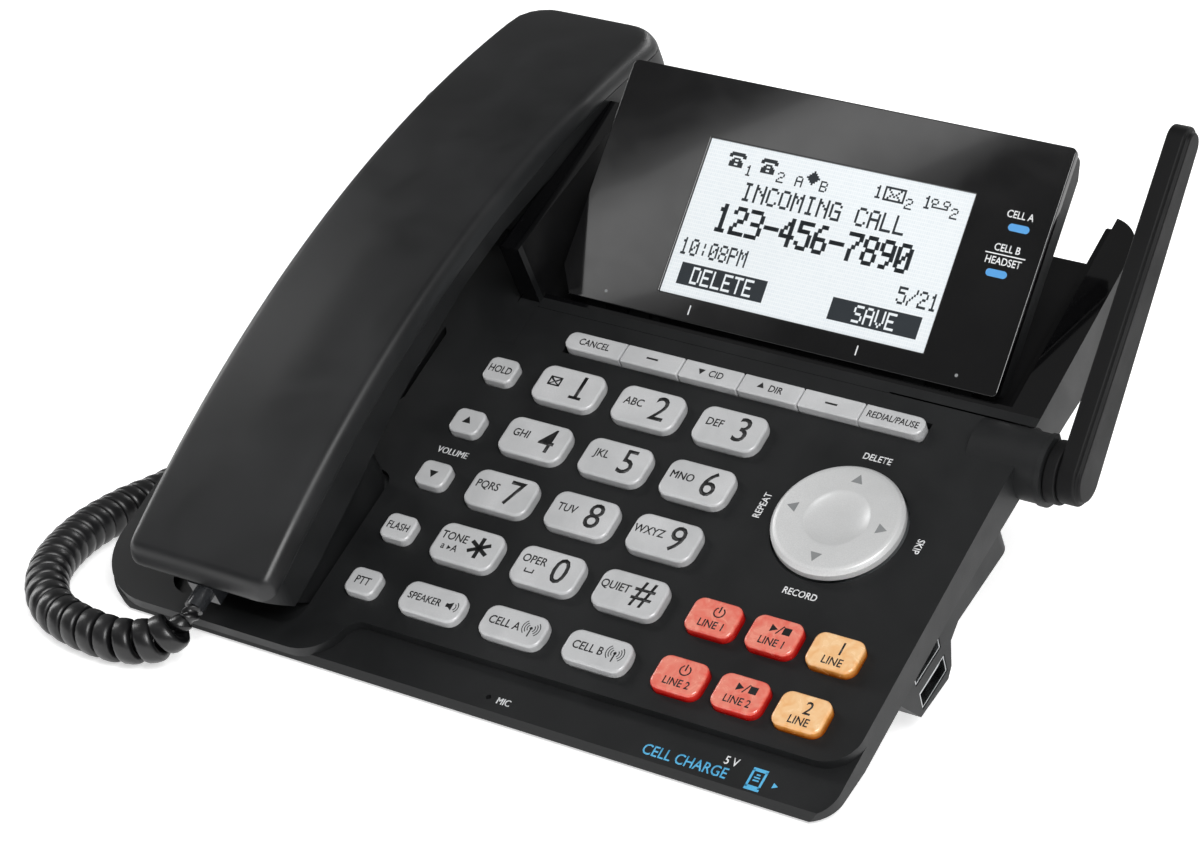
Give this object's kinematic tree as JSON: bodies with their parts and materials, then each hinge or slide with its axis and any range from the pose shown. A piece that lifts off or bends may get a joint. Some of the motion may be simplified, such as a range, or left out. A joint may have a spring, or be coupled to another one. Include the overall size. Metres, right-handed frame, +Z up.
{
  "type": "answering machine",
  "caption": "Corded desk telephone with answering system: sloping key deck, tilting display, swinging antenna, cradled handset with curly cord and side charging sockets.",
  "frame": {"origin": "centre of the footprint on the table, without the cord", "axes": "+X to the right across the keys, +Y away from the user, +Z up"},
  "size_m": [0.2582, 0.2115, 0.1291],
  "materials": {
    "matte_black": "fine matte moulded",
    "gloss_black": "high gloss",
    "dark_plastic": "satin moulded",
    "key_silver": "silver satin paint",
    "key_red": "translucent",
    "key_amber": "translucent",
    "lcd": "backlit panel",
    "steel": "plated",
    "board_green": "solder mask",
    "silicone": "moulded",
    "rubber": "moulded",
    "cord_vinyl": "smooth vinyl"
  },
  "bodies": {
    "base": {"top_cover": "matte_black", "bottom_cover": "matte_black", "desk_stand": "matte_black", "display_well": "gloss_black", "display_hinge_pins": "steel", "loudspeaker": "steel", "main_board": "board_green", "keypad_membrane": "silicone", "rubber_feet": "rubber", "cover_screws": "steel", "usb_ports": "steel", "line_jacks": "dark_plastic", "base_plug": "dark_plastic"},
    "key_1": {"key_1": "key_silver"},
    "key_2": {"key_2": "key_silver"},
    "key_3": {"key_3": "key_silver"},
    "key_4": {"key_4": "key_silver"},
    "key_5": {"key_5": "key_silver"},
    "key_6": {"key_6": "key_silver"},
    "key_7": {"key_7": "key_silver"},
    "key_8": {"key_8": "key_silver"},
    "key_9": {"key_9": "key_silver"},
    "key_star": {"key_star": "key_silver"},
    "key_0": {"key_0": "key_silver"},
    "key_pound": {"key_pound": "key_silver"},
    "key_speaker": {"key_speaker": "key_silver"},
    "key_cell_a": {"key_cell_a": "key_silver"},
    "key_cell_b": {"key_cell_b": "key_silver"},
    "key_hold": {"key_hold": "key_silver"},
    "key_volume_up": {"key_volume_up": "key_silver"},
    "key_volume_down": {"key_volume_down": "key_silver"},
    "key_flash": {"key_flash": "key_silver"},
    "key_ptt": {"key_ptt": "key_silver"},
    "key_line1": {"key_line1": "key_red"},
    "key_line1_play": {"key_line1_play": "key_red"},
    "key_line2": {"key_line2": "key_red"},
    "key_line2_play": {"key_line2_play": "key_red"},
    "key_amber_1": {"key_amber_1": "key_amber"},
    "key_amber_2": {"key_amber_2": "key_amber"},
    "func_key_1": {"func_key_1": "key_silver"},
    "func_key_2": {"func_key_2": "key_silver"},
    "func_key_3": {"func_key_3": "key_silver"},
    "func_key_4": {"func_key_4": "key_silver"},
    "func_key_5": {"func_key_5": "key_silver"},
    "func_key_6": {"func_key_6": "key_silver"},
    "nav_boss": {"nav_boss": "dark_plastic"},
    "nav_disc": {"nav_disc": "key_silver"},
    "display": {"display_lens": "gloss_black", "display_shell": "dark_plastic", "lcd_panel": "lcd"},
    "antenna": {"antenna_hub": "dark_plastic", "antenna_paddle": "matte_black"},
    "handset": {"handset_upper": "matte_black", "handset_lower": "matte_black", "handset_receiver": "dark_plastic", "handset_microphone": "dark_plastic", "handset_plug": "dark_plastic", "handset_cord": "cord_vinyl"},
    "hook": {"hook_switch": "dark_plastic"}
  },
  "joints": [
    {"name": "key_1_press", "type": "slide", "parent": "base", "child": "key_1", "axis": [0, 0.4825, -0.8759], "range_m": [0, 0.0008], "stiffness_N_per_m": 400, "springref_m": -0.001},
    {"name": "key_2_press", "type": "slide", "parent": "base", "child": "key_2", "axis": [0, 0.4825, -0.8759], "range_m": [0, 0.0008], "stiffness_N_per_m": 400, "springref_m": -0.001},
    {"name": "key_3_press", "type": "slide", "parent": "base", "child": "key_3", "axis": [0, 0.4825, -0.8759], "range_m": [0, 0.0008], "stiffness_N_per_m": 400, "springref_m": -0.001},
    {"name": "key_4_press", "type": "slide", "parent": "base", "child": "key_4", "axis": [0, 0.4825, -0.8759], "range_m": [0, 0.0008], "stiffness_N_per_m": 400, "springref_m": -0.001},
    {"name": "key_5_press", "type": "slide", "parent": "base", "child": "key_5", "axis": [0, 0.4825, -0.8759], "range_m": [0, 0.0008], "stiffness_N_per_m": 400, "springref_m": -0.001},
    {"name": "key_6_press", "type": "slide", "parent": "base", "child": "key_6", "axis": [0, 0.4825, -0.8759], "range_m": [0, 0.0008], "stiffness_N_per_m": 400, "springref_m": -0.001},
    {"name": "key_7_press", "type": "slide", "parent": "base", "child": "key_7", "axis": [0, 0.4825, -0.8759], "range_m": [0, 0.0008], "stiffness_N_per_m": 400, "springref_m": -0.001},
    {"name": "key_8_press", "type": "slide", "parent": "base", "child": "key_8", "axis": [0, 0.4825, -0.8759], "range_m": [0, 0.0008], "stiffness_N_per_m": 400, "springref_m": -0.001},
    {"name": "key_9_press", "type": "slide", "parent": "base", "child": "key_9", "axis": [0, 0.4825, -0.8759], "range_m": [0, 0.0008], "stiffness_N_per_m": 400, "springref_m": -0.001},
    {"name": "key_star_press", "type": "slide", "parent": "base", "child": "key_star", "axis": [0, 0.4825, -0.8759], "range_m": [0, 0.0008], "stiffness_N_per_m": 400, "springref_m": -0.001},
    {"name": "key_0_press", "type": "slide", "parent": "base", "child": "key_0", "axis": [0, 0.4825, -0.8759], "range_m": [0, 0.0008], "stiffness_N_per_m": 400, "springref_m": -0.001},
    {"name": "key_pound_press", "type": "slide", "parent": "base", "child": "key_pound", "axis": [0, 0.4825, -0.8759], "range_m": [0, 0.0008], "stiffness_N_per_m": 400, "springref_m": -0.001},
    {"name": "key_speaker_press", "type": "slide", "parent": "base", "child": "key_speaker", "axis": [0, 0.4825, -0.8759], "range_m": [0, 0.0008], "stiffness_N_per_m": 400, "springref_m": -0.001},
    {"name": "key_cell_a_press", "type": "slide", "parent": "base", "child": "key_cell_a", "axis": [0, 0.4825, -0.8759], "range_m": [0, 0.0008], "stiffness_N_per_m": 400, "springref_m": -0.001},
    {"name": "key_cell_b_press", "type": "slide", "parent": "base", "child": "key_cell_b", "axis": [0, 0.4825, -0.8759], "range_m": [0, 0.0008], "stiffness_N_per_m": 400, "springref_m": -0.001},
    {"name": "key_hold_press", "type": "slide", "parent": "base", "child": "key_hold", "axis": [0, 0.4825, -0.8759], "range_m": [0, 0.0008], "stiffness_N_per_m": 400, "springref_m": -0.001},
    {"name": "key_volume_up_press", "type": "slide", "parent": "base", "child": "key_volume_up", "axis": [0, 0.4825, -0.8759], "range_m": [0, 0.0008], "stiffness_N_per_m": 400, "springref_m": -0.001},
    {"name": "key_volume_down_press", "type": "slide", "parent": "base", "child": "key_volume_down", "axis": [0, 0.4825, -0.8759], "range_m": [0, 0.0008], "stiffness_N_per_m": 400, "springref_m": -0.001},
    {"name": "key_flash_press", "type": "slide", "parent": "base", "child": "key_flash", "axis": [0, 0.4825, -0.8759], "range_m": [0, 0.0008], "stiffness_N_per_m": 400, "springref_m": -0.001},
    {"name": "key_ptt_press", "type": "slide", "parent": "base", "child": "key_ptt", "axis": [0, 0.4825, -0.8759], "range_m": [0, 0.0008], "stiffness_N_per_m": 400, "springref_m": -0.001},
    {"name": "key_line1_press", "type": "slide", "parent": "base", "child": "key_line1", "axis": [0, 0.4825, -0.8759], "range_m": [0, 0.0008], "stiffness_N_per_m": 400, "springref_m": -0.001},
    {"name": "key_line1_play_press", "type": "slide", "parent": "base", "child": "key_line1_play", "axis": [0, 0.4825, -0.8759], "range_m": [0, 0.0008], "stiffness_N_per_m": 400, "springref_m": -0.001},
    {"name": "key_line2_press", "type": "slide", "parent": "base", "child": "key_line2", "axis": [0, 0.4825, -0.8759], "range_m": [0, 0.0008], "stiffness_N_per_m": 400, "springref_m": -0.001},
    {"name": "key_line2_play_press", "type": "slide", "parent": "base", "child": "key_line2_play", "axis": [0, 0.4825, -0.8759], "range_m": [0, 0.0008], "stiffness_N_per_m": 400, "springref_m": -0.001},
    {"name": "key_amber_1_press", "type": "slide", "parent": "base", "child": "key_amber_1", "axis": [0, 0.4825, -0.8759], "range_m": [0, 0.0008], "stiffness_N_per_m": 400, "springref_m": -0.001},
    {"name": "key_amber_2_press", "type": "slide", "parent": "base", "child": "key_amber_2", "axis": [0, 0.4825, -0.8759], "range_m": [0, 0.0008], "stiffness_N_per_m": 400, "springref_m": -0.001},
    {"name": "func_key_1_press", "type": "slide", "parent": "base", "child": "func_key_1", "axis": [0, 0.4825, -0.8759], "range_m": [0, 0.0008], "stiffness_N_per_m": 400, "springref_m": -0.001},
    {"name": "func_key_2_press", "type": "slide", "parent": "base", "child": "func_key_2", "axis": [0, 0.4825, -0.8759], "range_m": [0, 0.0008], "stiffness_N_per_m": 400, "springref_m": -0.001},
    {"name": "func_key_3_press", "type": "slide", "parent": "base", "child": "func_key_3", "axis": [0, 0.4825, -0.8759], "range_m": [0, 0.0008], "stiffness_N_per_m": 400, "springref_m": -0.001},
    {"name": "func_key_4_press", "type": "slide", "parent": "base", "child": "func_key_4", "axis": [0, 0.4825, -0.8759], "range_m": [0, 0.0008], "stiffness_N_per_m": 400, "springref_m": -0.001},
    {"name": "func_key_5_press", "type": "slide", "parent": "base", "child": "func_key_5", "axis": [0, 0.4825, -0.8759], "range_m": [0, 0.0008], "stiffness_N_per_m": 400, "springref_m": -0.001},
    {"name": "func_key_6_press", "type": "slide", "parent": "base", "child": "func_key_6", "axis": [0, 0.4825, -0.8759], "range_m": [0, 0.0008], "stiffness_N_per_m": 400, "springref_m": -0.001},
    {"name": "nav_fore_aft", "type": "hinge", "parent": "base", "child": "nav_boss", "pos_m": [0.0666, -0.01982, 0.04051], "axis": [1, 0, 0], "range_deg": [-3.5, 3.5], "stiffness_Nm_per_rad": 0.05},
    {"name": "nav_left_right", "type": "hinge", "parent": "nav_boss", "child": "nav_disc", "pos_m": [0.0666, -0.01982, 0.04051], "axis": [0, 0.8759, 0.4825], "range_deg": [-3.5, 3.5], "stiffness_Nm_per_rad": 0.05},
    {"name": "display_tilt", "type": "hinge", "parent": "base", "child": "display", "pos_m": [0, 0.02502, 0.0635], "axis": [1, 0, 0], "range_deg": [-23.9, 8]},
    {"name": "antenna_swing", "type": "hinge", "parent": "base", "child": "antenna", "pos_m": [0.1072, 0.01309, 0.05407], "axis": [1, 0, 0], "range_deg": [-50, 80]},
    {"name": "handset_lift", "type": "slide", "parent": "base", "child": "handset", "axis": [0, -0.4825, 0.8759], "range_m": [0, 0.12], "deforming": ["handset_cord"]},
    {"name": "hook_switch_rise", "type": "slide", "parent": "base", "child": "hook", "axis": [0, -0.4825, 0.8759], "range_m": [0, 0.003]}
  ],
  "couplings": [
    {"joint": "hook_switch_rise", "follows": "handset_lift", "ratio": 0.025}
  ]
}
